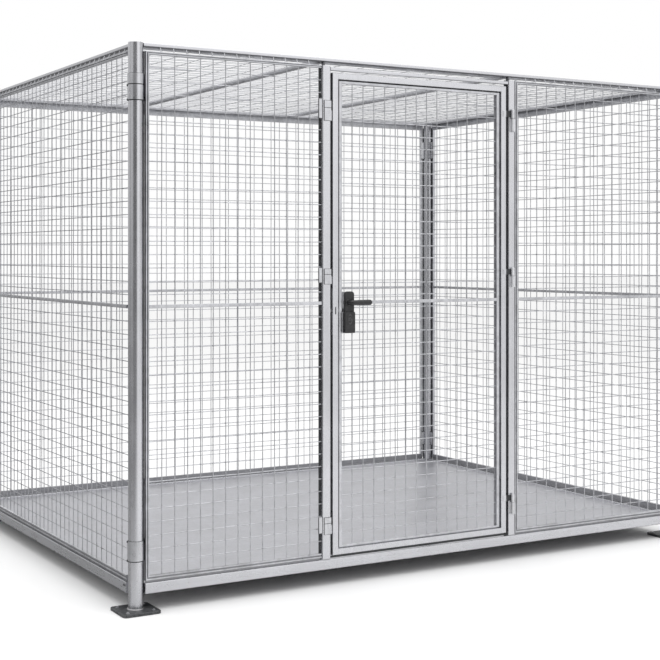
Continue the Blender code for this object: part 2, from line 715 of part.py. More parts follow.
CAGE = collection("wire_mesh_container")
GALVANISED = material("galvanised_steel", (0.62, 0.63, 0.65), 0.38, 0.9)
WIRE_STEEL = material("galvanised_mesh", (0.66, 0.67, 0.69), 0.42, 0.9)
FLOOR_STEEL = material("floor_sheet_steel", (0.58, 0.59, 0.61), 0.45, 0.85)
DARK_STEEL = material("foot_plate_steel", (0.09, 0.10, 0.11), 0.55, 0.6)
BLACK = material("black_lock_plastic", (0.03, 0.03, 0.035), 0.5, 0.0)
PLUG_STEEL = material("lock_steel", (0.30, 0.30, 0.31), 0.35, 0.9)

corner_posts()
base()
roof()
walls()
mullion_straps()
DOOR_AXIS = pivot("door_axis", at_side("front", HINGE_AXIS[0], HINGE_AXIS[1], 0))
door_leaf(DOOR_AXIS)
hinges(DOOR_AXIS)
lock(DOOR_AXIS)
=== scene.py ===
"""The finished look of a walk-in wire mesh container: zinc-plated tubes, welded wire, clamps, hinges and lock.

Lengths are metres. Each wall is worked out as if it were the front one, with x along it, y through it
(outside negative, from the plane of the post centres) and z up, and is then turned into place.
"""

import math

import bmesh
import bpy
from mathutils import Matrix, Vector


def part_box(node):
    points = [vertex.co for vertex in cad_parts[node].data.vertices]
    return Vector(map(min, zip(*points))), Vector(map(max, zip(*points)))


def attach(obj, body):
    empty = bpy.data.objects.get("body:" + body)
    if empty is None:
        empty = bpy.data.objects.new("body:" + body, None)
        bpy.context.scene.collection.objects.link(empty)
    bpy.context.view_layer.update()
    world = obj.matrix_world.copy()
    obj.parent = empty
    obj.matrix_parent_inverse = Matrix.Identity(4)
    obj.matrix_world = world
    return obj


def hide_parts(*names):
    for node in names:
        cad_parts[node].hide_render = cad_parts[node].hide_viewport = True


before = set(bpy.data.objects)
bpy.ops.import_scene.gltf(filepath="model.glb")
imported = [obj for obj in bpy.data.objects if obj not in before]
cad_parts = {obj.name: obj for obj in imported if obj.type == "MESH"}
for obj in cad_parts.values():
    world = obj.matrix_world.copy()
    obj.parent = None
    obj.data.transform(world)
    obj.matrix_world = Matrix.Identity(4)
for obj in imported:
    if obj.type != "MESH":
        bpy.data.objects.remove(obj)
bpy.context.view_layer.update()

QUARTER = math.pi / 2
FULL_TURN = 2 * math.pi
CORNERS = {"front_left": 0, "front_right": QUARTER, "back_right": math.pi, "back_left": -QUARTER}
LEVELS = ("lower", "middle", "upper")

# Welded wire, and how far its ends go into the frame round it
WIRE_RADIUS = 0.0020
WIRE_SIDES = 6
WIRE_BENDS = 7
WIRE_SWAY = 0.0007
WIRE_WAVES = ((9.1, 2.3), (11.7, 4.1))
CELL_WIDTH = 0.057
CELL_HEIGHT = 0.054
WIRE_TUCK = 0.002

# Frames of the fixed panels, and the depths of the wires and of the mid rail's outer and inner faces
STILE = 0.015
SLIM_STILE = 0.006
PANEL_FOOT = 0.0195
PANEL_HEAD = 0.012
PANEL_SKIRT = 0.0085
PANEL_UPRIGHTS = -0.0222
PANEL_LEVELS = -0.0186
PANEL_RAIL = (-0.0265, -0.0120)
HOOK_DEPTH = -0.0080

# The same for the door, with the widths of its tube frame and of its mesh's bead
DOOR_STILE, DOOR_HEAD, DOOR_FOOT = 0.029, 0.027, 0.026
BEAD_SIDE, BEAD_FOOT, BEAD_HEAD = 0.021, 0.012, 0.016
DOOR_UPRIGHTS = -0.0175
DOOR_LEVELS = -0.0140
DOOR_RAIL = (-0.0224, -0.0090)

# Mid rails: their height on the walls, and each bar's thickness
MID_RAIL = (1.2065, 1.2205)
MID_BAR = 0.0034

# Top rails: where the set-back lip starts, where the full band does, and the drop of its upper face
RAIL_LIP = 0.0042
RAIL_BAND = 0.0064
RAIL_DROP = 0.002

# Roof panels
ROOF_SIDE = 0.005
ROOF_END = 0.012
ROOF_WIRE = 0.0013
ROOF_SWAY = 0.0018
ROOF_CELL = (0.114, 0.0285)
ROOF_TUBE = 0.008

# Facets round a post, the anchor bolts' distance from its middle, and common edge radii
ROUND_SIDES = 56
ANCHOR = 0.055
TUBE_CORNER = 0.0035
SHEET_EDGE = 0.0006
SEAM = 0.0006

# Room kept for the hinges beside the right mullion, their knuckles and pins, and the width of the dark strips in the
# gaps, which are painted shade
HINGE_ROOM = 0.0030
KNUCKLE_RADIUS = 0.0080
PIN_RADIUS = 0.0042
GAP_SHADE_STRIP = 0.0082

# The lock's outer face, and the lever's thickness, bend and distance from its CAD box's sides to its middle
LOCK_FACE = -0.0343
LEVER_RADIUS = 0.0108
LEVER_BEND = 0.012
LEVER_REACH = 0.009


def centre_of(node):
    """The middle of a CAD node's box."""
    low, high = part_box(node)
    return (low + high) / 2


POST = centre_of("corner_post_front_left")
HALF_WIDTH = -POST.x
HALF_DEPTH = -POST.y
WALLS = {"front": (0, HALF_DEPTH), "right": (QUARTER, HALF_WIDTH), "back": (math.pi, HALF_DEPTH),
         "left": (-QUARTER, HALF_WIDTH)}


def wall_place(side):
    """The matrix that carries front-wall measures to one side of the cage."""
    turn, distance = WALLS[side]
    return Matrix.Rotation(turn, 4, "Z") @ Matrix.Translation((0, -distance, 0))


def wall_box(node, side="front"):
    """A CAD node's box in the measures of its own wall."""
    back = wall_place(side).inverted()
    first, second = (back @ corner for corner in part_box(node))
    return (Vector(map(min, first, second)), Vector(map(max, first, second)))


# ---------------------------------------------------------------- shapes


def block(low, high, radius=0.0, segments=2, along=None):
    """A box with rounded edges: all of them, or only those that run along one axis."""
    low, high = Vector(low), Vector(high)
    shape = bmesh.new()
    bmesh.ops.create_cube(shape, size=1)
    bmesh.ops.scale(shape, vec=high - low, verts=shape.verts)
    bmesh.ops.translate(shape, vec=(low + high) / 2, verts=shape.verts)
    if radius:
        edges = [edge for edge in shape.edges
                 if along is None or abs((edge.verts[1].co - edge.verts[0].co)[along]) > SHEET_EDGE]
        soften(shape, edges, radius, segments)
    return shape


def soften(shape, edges, radius, segments=2):
    """Round some edges over."""
    bmesh.ops.bevel(shape, geom=edges, offset=radius, offset_type="OFFSET", segments=segments, profile=0.5,
                    affect="EDGES", material=-1, clamp_overlap=True)


def rod(start, end, radius, sides=24, chamfer=0.0):
    """A round bar between two points, with its end edges chamfered."""
    start, end = Vector(start), Vector(end)
    shape = bmesh.new()
    bmesh.ops.create_cone(shape, cap_ends=True, segments=sides, radius1=radius, radius2=radius,
                          depth=(end - start).length)
    if chamfer:
        rims = [edge for edge in shape.edges if abs(edge.verts[0].co.z - edge.verts[1].co.z) < SHEET_EDGE / 4]
        soften(shape, rims, chamfer)
    lay_between(shape, start, end)
    return shape


def lay_between(shape, start, end):
    """Lay an upright bar, made round the origin, between two points."""
    turn = (end - start).to_track_quat("Z", "Y").to_matrix().to_4x4()
    bmesh.ops.transform(shape, matrix=Matrix.Translation((start + end) / 2) @ turn, verts=shape.verts)


def turned(profile, centre, steps=40, sweep=FULL_TURN):
    """A closed profile of (radius, height) points, turned round an upright axis through the centre."""
    shape = bmesh.new()
    points = [shape.verts.new((radius, 0, height)) for radius, height in profile]
    edges = [shape.edges.new((points[number - 1], points[number])) for number in range(len(points))]
    whole = sweep == FULL_TURN
    if not whole:
        shape.faces.new(points)
    bmesh.ops.spin(shape, geom=points + edges + shape.faces[:], cent=(0, 0, 0), axis=(0, 0, 1), angle=sweep,
                   steps=steps, use_merge=whole)
    bmesh.ops.remove_doubles(shape, verts=shape.verts, dist=1e-6)
    bmesh.ops.recalc_face_normals(shape, faces=shape.faces)
    bmesh.ops.translate(shape, vec=centre, verts=shape.verts)
    return shape


def mitred_frame(rim, widths, profile):
    """A frame round a rectangle (left, low, right, top) with mitred corners.

    The widths are those of its left, bottom, right and top members. The profile's points are
    (share of the width, counted inwards from the rim, depth).
    """
    left, low, right, top = rim
    shape = bmesh.new()
    points = [shape.verts.new((2 - share, depth, 2 - share)) for share, depth in profile]
    edges = [shape.edges.new((points[number - 1], points[number])) for number in range(len(points))]
    bmesh.ops.spin(shape, geom=points + edges, cent=(0, 0, 0), axis=(0, 1, 0), angle=FULL_TURN, steps=4,
                   use_merge=True)
    for point in shape.verts:
        share = 2 - abs(point.co.x)
        point.co.x = left + share * widths[0] if point.co.x < 0 else right - share * widths[2]
        point.co.z = low + share * widths[1] if point.co.z < 0 else top - share * widths[3]
    bmesh.ops.recalc_face_normals(shape, faces=shape.faces)
    return shape


def wire(start, end, radius, phase, sway=WIRE_SWAY):
    """One length of drawn wire with the slight waves that welding leaves in it."""
    start, end = Vector(start), Vector(end)
    length = (end - start).length
    shape = bmesh.new()
    bmesh.ops.create_cone(shape, cap_ends=True, segments=WIRE_SIDES, radius1=radius, radius2=radius, depth=length)
    long_edges = [edge for edge in shape.edges if abs(edge.verts[0].co.z - edge.verts[1].co.z) > length / 2]
    bmesh.ops.subdivide_edges(shape, edges=long_edges, cuts=WIRE_BENDS)
    (x_waves, x_shift), (y_waves, y_shift) = WIRE_WAVES
    for point in shape.verts:
        share = point.co.z / length + 0.5
        fade = math.sin(math.pi * min(1, max(0, share)))
        point.co.x += sway * fade * math.sin(x_waves * share + x_shift * phase)
        point.co.y += sway * fade * math.sin(y_waves * share + y_shift * phase)
    lay_between(shape, start, end)
    return shape


def add(target, part, finish=0):
    """Join a part to a shape, with the number of its finish in that piece."""
    for face in part.faces:
        face.material_index = finish
    carrier = bpy.data.meshes.new("carrier")
    part.to_mesh(carrier)
    part.free()
    target.from_mesh(carrier)
    bpy.data.meshes.remove(carrier)


def piece(name, shape, looks, nodes, body="cage", place=None, crease=40):
    """A finished piece: its mesh, its materials, the body it rides on and the CAD nodes it stands for."""
    if place is not None:
        bmesh.ops.transform(shape, matrix=place, verts=shape.verts)
    mesh = bpy.data.meshes.new(name)
    shape.to_mesh(mesh)
    shape.free()
    for look in looks:
        mesh.materials.append(look)
    mesh.shade_smooth()
    mesh.set_sharp_from_angle(angle=math.radians(crease))
    made = new_object(name, mesh)
    even = made.modifiers.new("Even shading", "WEIGHTED_NORMAL")
    even.keep_sharp = True
    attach(made, body)
    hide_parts(*nodes)


def new_object(name, data):
    """An object in the scene."""
    made = bpy.data.objects.new(name, data)
    bpy.context.scene.collection.objects.link(made)
    return made


def bolt(centre, outward, radius=0.0055, height=0.0038, washer=0.0080):
    """A hexagon head on a washer, standing on a face that looks along outward."""
    centre, outward = Vector(centre), Vector(outward)
    shape = bmesh.new()
    seat = centre + 0.0012 * outward
    add(shape, rod(centre, seat, washer, sides=20, chamfer=0.0003))
    add(shape, rod(seat, seat + height * outward, radius, sides=6, chamfer=0.0004))
    return shape


# ---------------------------------------------------------------- finishes


def add_node(tree, kind, **settings):
    """A shader node with some of its settings made."""
    made = tree.nodes.new(kind)
    for name, value in settings.items():
        setattr(made, name, value)
    return made


def feed(tree, source, socket):
    """Link an output to a socket, or set the socket to a plain value."""
    if isinstance(source, bpy.types.NodeSocket):
        tree.links.new(source, socket)
    else:
        socket.default_value = source


def maths(tree, operation, first, second):
    """The result of one Math node."""
    made = add_node(tree, "ShaderNodeMath", operation=operation)
    feed(tree, first, made.inputs[0])
    feed(tree, second, made.inputs[1])
    return made.outputs[0]


def spread(tree, value, low, high, to_low, to_high, **settings):
    """A value stretched from one range to another, and held inside it."""
    made = add_node(tree, "ShaderNodeMapRange", **settings)
    feed(tree, value, made.inputs["Value"])
    for socket, bound in (("From Min", low), ("From Max", high), ("To Min", to_low), ("To Max", to_high)):
        made.inputs[socket].default_value = bound
    return made.outputs["Result"]


def noise(tree, place, scale, detail=3.0, roughness=0.55):
    """A noise pattern's value."""
    made = add_node(tree, "ShaderNodeTexNoise")
    feed(tree, place, made.inputs["Vector"])
    made.inputs["Scale"].default_value = scale
    made.inputs["Detail"].default_value = detail
    made.inputs["Roughness"].default_value = roughness
    return made.outputs["Fac"]


def scaled(tree, place, by):
    """A vector multiplied by another, part by part."""
    made = add_node(tree, "ShaderNodeVectorMath", operation="MULTIPLY")
    feed(tree, place, made.inputs[0])
    feed(tree, by, made.inputs[1])
    return made.outputs[0]


def tinted(tree, colour, shade):
    """A colour made lighter or darker by a value."""
    made = add_node(tree, "ShaderNodeVectorMath", operation="SCALE")
    feed(tree, colour, made.inputs[0])
    feed(tree, shade, made.inputs["Scale"])
    return made.outputs[0]


def blended(tree, amount, first, second):
    """A colour that turns into another as the amount grows."""
    made = add_node(tree, "ShaderNodeMix", data_type="RGBA")
    for socket, source in ((0, amount), (6, first), (7, second)):
        feed(tree, source, made.inputs[socket])
    return made.outputs[2]


def part_of(tree, vector, axis):
    """One of the three parts of a vector."""
    made = add_node(tree, "ShaderNodeSeparateXYZ")
    feed(tree, vector, made.inputs[0])
    return made.outputs[axis]


def new_group(name, inputs, outputs):
    """An empty node group with its sockets, and the nodes at its two ends."""
    tree = bpy.data.node_groups.new(name, "ShaderNodeTree")
    kinds = {"vector": "NodeSocketVector", "colour": "NodeSocketColor", "value": "NodeSocketFloat"}
    for label, kind, default in inputs:
        tree.interface.new_socket(label, in_out="INPUT", socket_type=kinds[kind]).default_value = default
    for label, kind in outputs:
        tree.interface.new_socket(label, in_out="OUTPUT", socket_type=kinds[kind])
    return tree, tree.nodes.new("NodeGroupInput").outputs, tree.nodes.new("NodeGroupOutput").inputs


def zinc_group():
    """The skin of zinc plating: drawing streaks, soft clouds and a fine spangle."""
    tree, given, made = new_group(
        "zinc_skin",
        [("Place", "vector", (0, 0, 0)), ("Lay", "vector", (90, 90, 2.5)), ("Tone", "colour", (0.6, 0.6, 0.62, 1)),
         ("Streaks", "value", 0.1), ("Clouds", "value", 0.1), ("Spangle", "value", 0.03), ("Roughness", "value", 0.35)],
        [("Colour", "colour"), ("Roughness", "value"), ("Height", "value")])
    streaks = spread(tree, noise(tree, scaled(tree, given["Place"], given["Lay"]), 1.0, 4), 0.32, 0.68, -1, 1)
    clouds = spread(tree, noise(tree, given["Place"], 8.0, 4, 0.6), 0.32, 0.68, -1, 1)
    cells = add_node(tree, "ShaderNodeTexVoronoi", feature="F1")
    feed(tree, given["Place"], cells.inputs["Vector"])
    cells.inputs["Scale"].default_value = 150
    split = add_node(tree, "ShaderNodeSeparateColor")
    feed(tree, cells.outputs["Color"], split.inputs["Color"])
    spangle = spread(tree, split.outputs["Red"], 0, 1, -1, 1)
    shade = 1.0
    for pattern, amount in ((streaks, "Streaks"), (clouds, "Clouds"), (spangle, "Spangle")):
        shade = maths(tree, "ADD", shade, maths(tree, "MULTIPLY", pattern, given[amount]))
    feed(tree, tinted(tree, given["Tone"], shade), made["Colour"])
    rough = maths(tree, "ADD", given["Roughness"], maths(tree, "MULTIPLY", clouds, 0.05))
    feed(tree, maths(tree, "ADD", rough, maths(tree, "MULTIPLY", streaks, 0.04)), made["Roughness"])
    feed(tree, maths(tree, "ADD", streaks, maths(tree, "MULTIPLY", spangle, 0.4)), made["Height"])
    return tree


def dust_group():
    """Dull film and handling marks: more of it low down and on faces that look up."""
    tree, given, made = new_group(
        "dust_film",
        [("Place", "vector", (0, 0, 0)), ("Colour", "colour", (0.5, 0.5, 0.5, 1)), ("Roughness", "value", 0.4),
         ("Film", "colour", (0.42, 0.41, 0.40, 1)), ("Amount", "value", 0.3)],
        [("Colour", "colour"), ("Roughness", "value")])
    low_down = spread(tree, part_of(tree, given["Place"], "Z"), 0.0, 0.45, 1, 0)
    facing = add_node(tree, "ShaderNodeNewGeometry").outputs["Normal"]
    upward = spread(tree, part_of(tree, facing, "Z"), 0.3, 1.0, 0, 0.6)
    patches = spread(tree, noise(tree, given["Place"], 14, 5, 0.65), 0.42, 0.66, 0, 1)
    mask = maths(tree, "MULTIPLY", maths(tree, "MAXIMUM", low_down, upward), patches)
    mask = maths(tree, "MULTIPLY", mask, given["Amount"])
    feed(tree, blended(tree, mask, given["Colour"], given["Film"]), made["Colour"])
    feed(tree, maths(tree, "ADD", given["Roughness"], maths(tree, "MULTIPLY", mask, 0.3)), made["Roughness"])
    return tree


def grain_group():
    """The fine pebble of moulded plastic or powder paint, with a few rubbed spots."""
    tree, given, made = new_group(
        "fine_grain",
        [("Place", "vector", (0, 0, 0)), ("Tone", "colour", (0.03, 0.03, 0.03, 1)),
         ("Worn", "colour", (0.2, 0.2, 0.2, 1)), ("Size", "value", 900.0), ("Wear", "value", 0.3),
         ("Roughness", "value", 0.5)],
        [("Colour", "colour"), ("Roughness", "value"), ("Height", "value")])
    pebble = add_node(tree, "ShaderNodeTexNoise")
    feed(tree, given["Place"], pebble.inputs["Vector"])
    feed(tree, given["Size"], pebble.inputs["Scale"])
    pebble.inputs["Detail"].default_value = 2
    edges = add_node(tree, "ShaderNodeNewGeometry").outputs["Pointiness"]
    edges = spread(tree, edges, 0.505, 0.56, 0, 1)
    rubbed = spread(tree, noise(tree, given["Place"], 60, 5, 0.7), 0.45, 0.62, 0, 1)
    wear = maths(tree, "MULTIPLY", maths(tree, "MULTIPLY", edges, rubbed), given["Wear"])
    clouds = spread(tree, noise(tree, given["Place"], 25, 3), 0.3, 0.7, 0.85, 1.15)
    feed(tree, blended(tree, wear, tinted(tree, given["Tone"], clouds), given["Worn"]), made["Colour"])
    feed(tree, maths(tree, "SUBTRACT", given["Roughness"], maths(tree, "MULTIPLY", wear, 0.15)), made["Roughness"])
    feed(tree, pebble.outputs["Fac"], made["Height"])
    return tree


ZINC = zinc_group()
DUST = dust_group()
GRAIN = grain_group()


def new_material(name, metallic):
    """A material with its shader, and the place on the piece that its patterns read."""
    made = bpy.data.materials.new(name)
    made.use_nodes = True
    tree = made.node_tree
    shader = tree.nodes["Principled BSDF"]
    shader.inputs["Metallic"].default_value = metallic
    place = tree.nodes.new("ShaderNodeTexCoord").outputs["Object"]
    return made, tree, shader, place


def raise_surface(tree, shader, height, strength, distance):
    """Bump from a height."""
    bump = add_node(tree, "ShaderNodeBump")
    bump.inputs["Strength"].default_value = strength
    bump.inputs["Distance"].default_value = distance
    feed(tree, height, bump.inputs["Height"])
    feed(tree, bump.outputs["Normal"], shader.inputs["Normal"])


def zinc(name, lay, tone=(0.62, 0.623, 0.650), roughness=0.34, streaks=0.10, clouds=0.08, spangle=0.035, film=0.25,
         metallic=0.95, bump=0.10):
    """A zinc-plated surface whose streaks run the way that lay stretches them."""
    made, tree, shader, place = new_material(name, metallic)
    skin = add_node(tree, "ShaderNodeGroup", node_tree=ZINC)
    feed(tree, place, skin.inputs["Place"])
    for socket, value in (("Lay", lay), ("Tone", (*tone, 1)), ("Streaks", streaks), ("Clouds", clouds),
                          ("Spangle", spangle), ("Roughness", roughness)):
        skin.inputs[socket].default_value = value
    dust = add_node(tree, "ShaderNodeGroup", node_tree=DUST)
    feed(tree, place, dust.inputs["Place"])
    feed(tree, skin.outputs["Colour"], dust.inputs["Colour"])
    feed(tree, skin.outputs["Roughness"], dust.inputs["Roughness"])
    dust.inputs["Amount"].default_value = film
    feed(tree, dust.outputs["Colour"], shader.inputs["Base Color"])
    feed(tree, dust.outputs["Roughness"], shader.inputs["Roughness"])
    raise_surface(tree, shader, skin.outputs["Height"], bump, 0.0004)
    return made


def grained(name, tone, worn, size, wear, roughness, metallic=0.0, bump=0.25):
    """A painted or moulded surface with a fine grain."""
    made, tree, shader, place = new_material(name, metallic)
    skin = add_node(tree, "ShaderNodeGroup", node_tree=GRAIN)
    feed(tree, place, skin.inputs["Place"])
    for socket, value in (("Tone", (*tone, 1)), ("Worn", (*worn, 1)), ("Size", size), ("Wear", wear),
                          ("Roughness", roughness)):
        skin.inputs[socket].default_value = value
    feed(tree, skin.outputs["Colour"], shader.inputs["Base Color"])
    feed(tree, skin.outputs["Roughness"], shader.inputs["Roughness"])
    raise_surface(tree, shader, skin.outputs["Height"], bump, 0.0002)
    return made


UPRIGHT = zinc("zinc_upright", (70, 70, 1.2), roughness=0.24, film=0.06, streaks=0.04, clouds=0.04, spangle=0.012,
               bump=0.025)
ACROSS = zinc("zinc_across", (1.2, 70, 70), roughness=0.28, film=0.06, streaks=0.035, clouds=0.04, spangle=0.012,
              bump=0.02)
THROUGH = zinc("zinc_through", (70, 1.2, 70), roughness=0.28, film=0.06, streaks=0.035, clouds=0.04, spangle=0.012,
               bump=0.02)
# A darker copy of the zinc for grooves, recesses and strips in shade: painted shade.
SHADED_ZINC = zinc("zinc_painted_shade", (40, 40, 40), tone=(0.33, 0.332, 0.35), roughness=0.42, film=0.3)
WIRE = zinc("zinc_wire", (35, 35, 35), tone=(0.57, 0.575, 0.60), roughness=0.34, streaks=0.14, clouds=0.10, film=0.1)
CLAMP = zinc("zinc_clamp", (60, 60, 14), tone=(0.60, 0.605, 0.63), roughness=0.30, clouds=0.10, film=0.15)
# Hinge zinc with a lighter tone than the rest, so that the knuckles read light: painted highlight.
KNUCKLE_HIGHLIGHT = zinc("zinc_knuckle_painted_highlight", (60, 60, 14), tone=(0.74, 0.745, 0.77), roughness=0.55, clouds=0.08, film=0.55,
               metallic=0.5)
# Dark steel for bolts and pins, and for set-back lips, splits and outlines, where it is painted shade.
FASTENER_AND_SHADE = zinc("dark_fastener_and_painted_shade", (200, 200, 200), tone=(0.16, 0.16, 0.17), roughness=0.42, film=0.2)
WELD = zinc("weld_bead", (260, 260, 260), tone=(0.42, 0.42, 0.43), roughness=0.5, streaks=0.2, bump=0.5)
FLOOR = zinc("floor_sheet_zinc", (1.6, 70, 70), tone=(0.61, 0.612, 0.645), roughness=0.38, streaks=0.05, clouds=0.04,
             spangle=0.04, film=0.12, bump=0.05)
PAINTED = grained("painted_foot_plate", (0.055, 0.058, 0.062), (0.30, 0.30, 0.30), 420, 0.5, 0.48, metallic=0.1)
BLACK = grained("black_moulding", (0.016, 0.016, 0.018), (0.06, 0.06, 0.06), 1500, 0.5, 0.36)
RUBBED_BLACK = grained("rubbed_black", (0.042, 0.042, 0.045), (0.14, 0.14, 0.14), 1500, 0.6, 0.34)
# Near-black strips, rings and faces put in gaps, slots, seams and recesses: painted shade.
SHADE_BLACK = grained("painted_shade_black", (0.030, 0.032, 0.036), (0.06, 0.06, 0.06), 700, 0.3, 0.6)
LOCK_STEEL = zinc("lock_steel_plain", (200, 200, 200), tone=(0.30, 0.30, 0.31), roughness=0.32, film=0.0)


# ---------------------------------------------------------------- frame of the cage


def posts():
    """Four round posts, each on a painted plate, with a cap and the weld at its foot."""
    for corner in CORNERS:
        low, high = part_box("corner_post_" + corner)
        centre = (low + high) / 2
        radius = (high.x - low.x) / 2
        middle = Vector((centre.x, centre.y, 0))
        shape = rod((centre.x, centre.y, low.z), (centre.x, centre.y, high.z), radius, sides=ROUND_SIDES)
        foot = low.z
        bead = [(radius - 0.001, foot), (radius + 0.0045, foot), (radius + 0.0040, foot + 0.0018),
                (radius + 0.0022, foot + 0.0036), (radius - 0.001, foot + 0.0048)]
        add(shape, turned(bead, middle, steps=ROUND_SIDES), finish=1)
        piece("post_" + corner, shape, [UPRIGHT, WELD], ["corner_post_" + corner])

        low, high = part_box("post_cap_" + corner)
        rim = high.z - 0.0058
        crown = high.z - 0.0030
        outline = [(0.0, crown), (radius - 0.0040, crown), (radius - 0.0016, crown - 0.0006),
                   (radius - 0.0004, crown - 0.0018), (radius - 0.0004, rim), (radius - 0.003, rim),
                   (radius - 0.003, low.z), (0.0, low.z)]
        piece("cap_" + corner, turned(outline, middle, steps=ROUND_SIDES), [UPRIGHT], ["post_cap_" + corner])
        foot_plate(corner, middle)


def foot_plate(corner, middle):
    """A painted plate with rounded corners, held down by four low anchor bolts."""
    low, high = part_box("foot_plate_" + corner)
    shape = block(low, high, 0.016, 6, along=2)
    rims = [edge for edge in shape.edges if abs(edge.verts[0].co.z - edge.verts[1].co.z) < SHEET_EDGE]
    soften(shape, [edge for edge in rims if len(edge.link_faces) == 2
                   and edge.link_faces[0].normal.dot(edge.link_faces[1].normal) < 0.3], 0.0022, 3)
    for x in (-ANCHOR, ANCHOR):
        for y in (-ANCHOR, ANCHOR):
            spot = middle + Vector((x, y, high.z))
            add(shape, bolt(spot, (0, 0, 1), radius=0.0052, height=0.0030, washer=0.0078), finish=1)
            add(shape, rod(spot, spot + Vector((0, 0, 0.0058)), 0.0028, sides=16, chamfer=0.0008), finish=1)
    piece("plate_" + corner, shape, [PAINTED, CLAMP], ["foot_plate_" + corner])


def beam(name, node, along, look, radius=TUBE_CORNER, bolts=()):
    """A straight tube with rounded corners in the place of a CAD beam, and the bolts in it."""
    low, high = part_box(node)
    shape = block(low, high, radius, 3, along=along)
    for one in bolts:
        add(shape, one, finish=1)
    piece(name, shape, [look, FASTENER_AND_SHADE], [node])


def end_bolts(side):
    """Two small bolts near each end of a side's base beam."""
    low, high = wall_box("base_beam_" + side, side)
    made = []
    for x in (low.x + 0.010, low.x + 0.022, high.x - 0.022, high.x - 0.010):
        made.append(bolt((x, low.y, high.z - 0.014), (0, -1, 0), radius=0.0028, height=0.0022, washer=0.0040))
        bmesh.ops.transform(made[-1], matrix=wall_place(side), verts=made[-1].verts)
    return made


def ring_of_beams():
    """The base ring, the bearers under the floor, the top rails and the two roof beams."""
    for side in WALLS:
        along, look, bolts = (0, ACROSS, ()) if side in ("front", "back") else (1, THROUGH, end_bolts(side))
        beam("base_" + side, "base_beam_" + side, along, look, 0.0030, bolts)
        top_rail(side, look)
    for side in ("left", "right"):
        beam("bearer_" + side, "floor_bearer_" + side, 1, THROUGH)
        low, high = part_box("roof_beam_" + side)
        middle = (low.x + high.x) / 2
        shape = block((middle - ROOF_TUBE / 2, low.y, low.z), (middle + ROOF_TUBE / 2, high.y, high.z), 0.0015, 3,
                      along=1)
        piece("roof_tube_" + side, shape, [THROUGH], ["roof_beam_" + side])


def top_rail(side, look):
    """A slim rail: a full band on top and a lip below it that is set back and dark with painted shade."""
    low, high = wall_box("top_rail_" + side, side)
    band = low.z + RAIL_BAND
    shape = block((low.x, low.y, band), (high.x, high.y, high.z - RAIL_DROP), 0.0022, 3, along=0)
    # The lip's dark finish is painted shade.
    add(shape, block((low.x, low.y + 0.0020, low.z + RAIL_LIP), (high.x, high.y - 0.0020, band + 0.002), 0.001, 1,
                     along=0), finish=1)
    piece("rail_" + side, shape, [look, FASTENER_AND_SHADE], ["top_rail_" + side], place=wall_place(side))


def post_clamps():
    """Bands round each post over a black ring whose edges show as painted shade: a single one low down, and one in two
    parts near the top.
    """
    for corner, turn in CORNERS.items():
        middle = centre_of("corner_post_" + corner)
        radius = middle.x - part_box("corner_post_" + corner)[0].x
        place = Matrix.Translation((middle.x, middle.y, 0)) @ Matrix.Rotation(turn, 4, "Z")
        for level in ("lower", "upper"):
            node = "post_clamp_" + corner + "_" + level
            low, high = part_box(node)
            bottom = low.z + 0.001
            if level == "upper":
                bolt_heights = (bottom, low.z + 0.058)
                spans = ((bottom, low.z + 0.0600), (low.z + 0.0640, high.z))
            else:
                bolt_heights = (bottom, high.z - 0.003)
                spans = ((bottom, high.z),)
            shape = post_band(radius, radius + 0.0012, low.z - 0.0030, high.z + 0.0012, 0.012)
            # The ring under the bands is black: painted shade at their edges.
            for face in shape.faces:
                face.material_index = 1
            for start, end in spans:
                add(shape, post_band(radius + 0.0004, radius + 0.0027, start, end, 0.022))
            ear = radius + 0.0070
            # The bolts are black: real bolts, and their black is also painted shade.
            for z in bolt_heights:
                add(shape, bolt((ear, 0.0, z + 0.003), (0, -1, 0), 0.0042, 0.0050, 0.0055), finish=1)
                add(shape, bolt((0.0, ear, z + 0.003), (-1, 0, 0), 0.0042, 0.0050, 0.0055), finish=1)
                add(shape, bolt((-radius - 0.0010, 0.006, z), (-1, 0, 0), 0.0042, 0.0022, 0.0050), finish=1)
            piece("clamp_" + corner + "_" + level, shape, [CLAMP, SHADE_BLACK], [node], place=place)


def post_band(inner, outer, bottom, top, ear):
    """One bent band with its two ears, round a post that stands at the origin."""
    thick = outer - inner
    reach = inner + ear
    band = [(inner, bottom), (outer, bottom), (outer, top), (inner, top)]
    shape = turned(band, (0, 0, 0), steps=42, sweep=-1.5 * math.pi)
    add(shape, block((inner, 0.0, bottom), (reach, thick, top), SHEET_EDGE / 2, 1))
    add(shape, block((0.0, inner, bottom), (thick, reach, top), SHEET_EDGE / 2, 1))
    return shape


# ---------------------------------------------------------------- mesh panels


def wire_field(rim, upright_depth, level_depth, hook=None, cell=(CELL_WIDTH, CELL_HEIGHT), radius=WIRE_RADIUS,
               sway=WIRE_SWAY):
    """Welded wires over a rectangle: uprights at one depth and level wires at the other.

    With hook, a (depth, height), each upright has a bent end that reaches up to it from the top.
    """
    left, low, right, top = rim
    across = round((right - left) / cell[0])
    upward = round((top - low) / cell[1])
    shape = bmesh.new()
    for number in range(1, across):
        x = left + (right - left) * number / across
        add(shape, wire((x, upright_depth, low), (x, upright_depth, top), radius, number, sway))
        if hook:
            add(shape, rod((x, upright_depth + 0.004, top + 0.006), (x, *hook), radius, sides=WIRE_SIDES))
    for number in range(1, upward):
        z = low + (top - low) * number / upward
        add(shape, wire((left, level_depth, z), (right, level_depth, z), radius, number + 0.4, sway))
    return shape


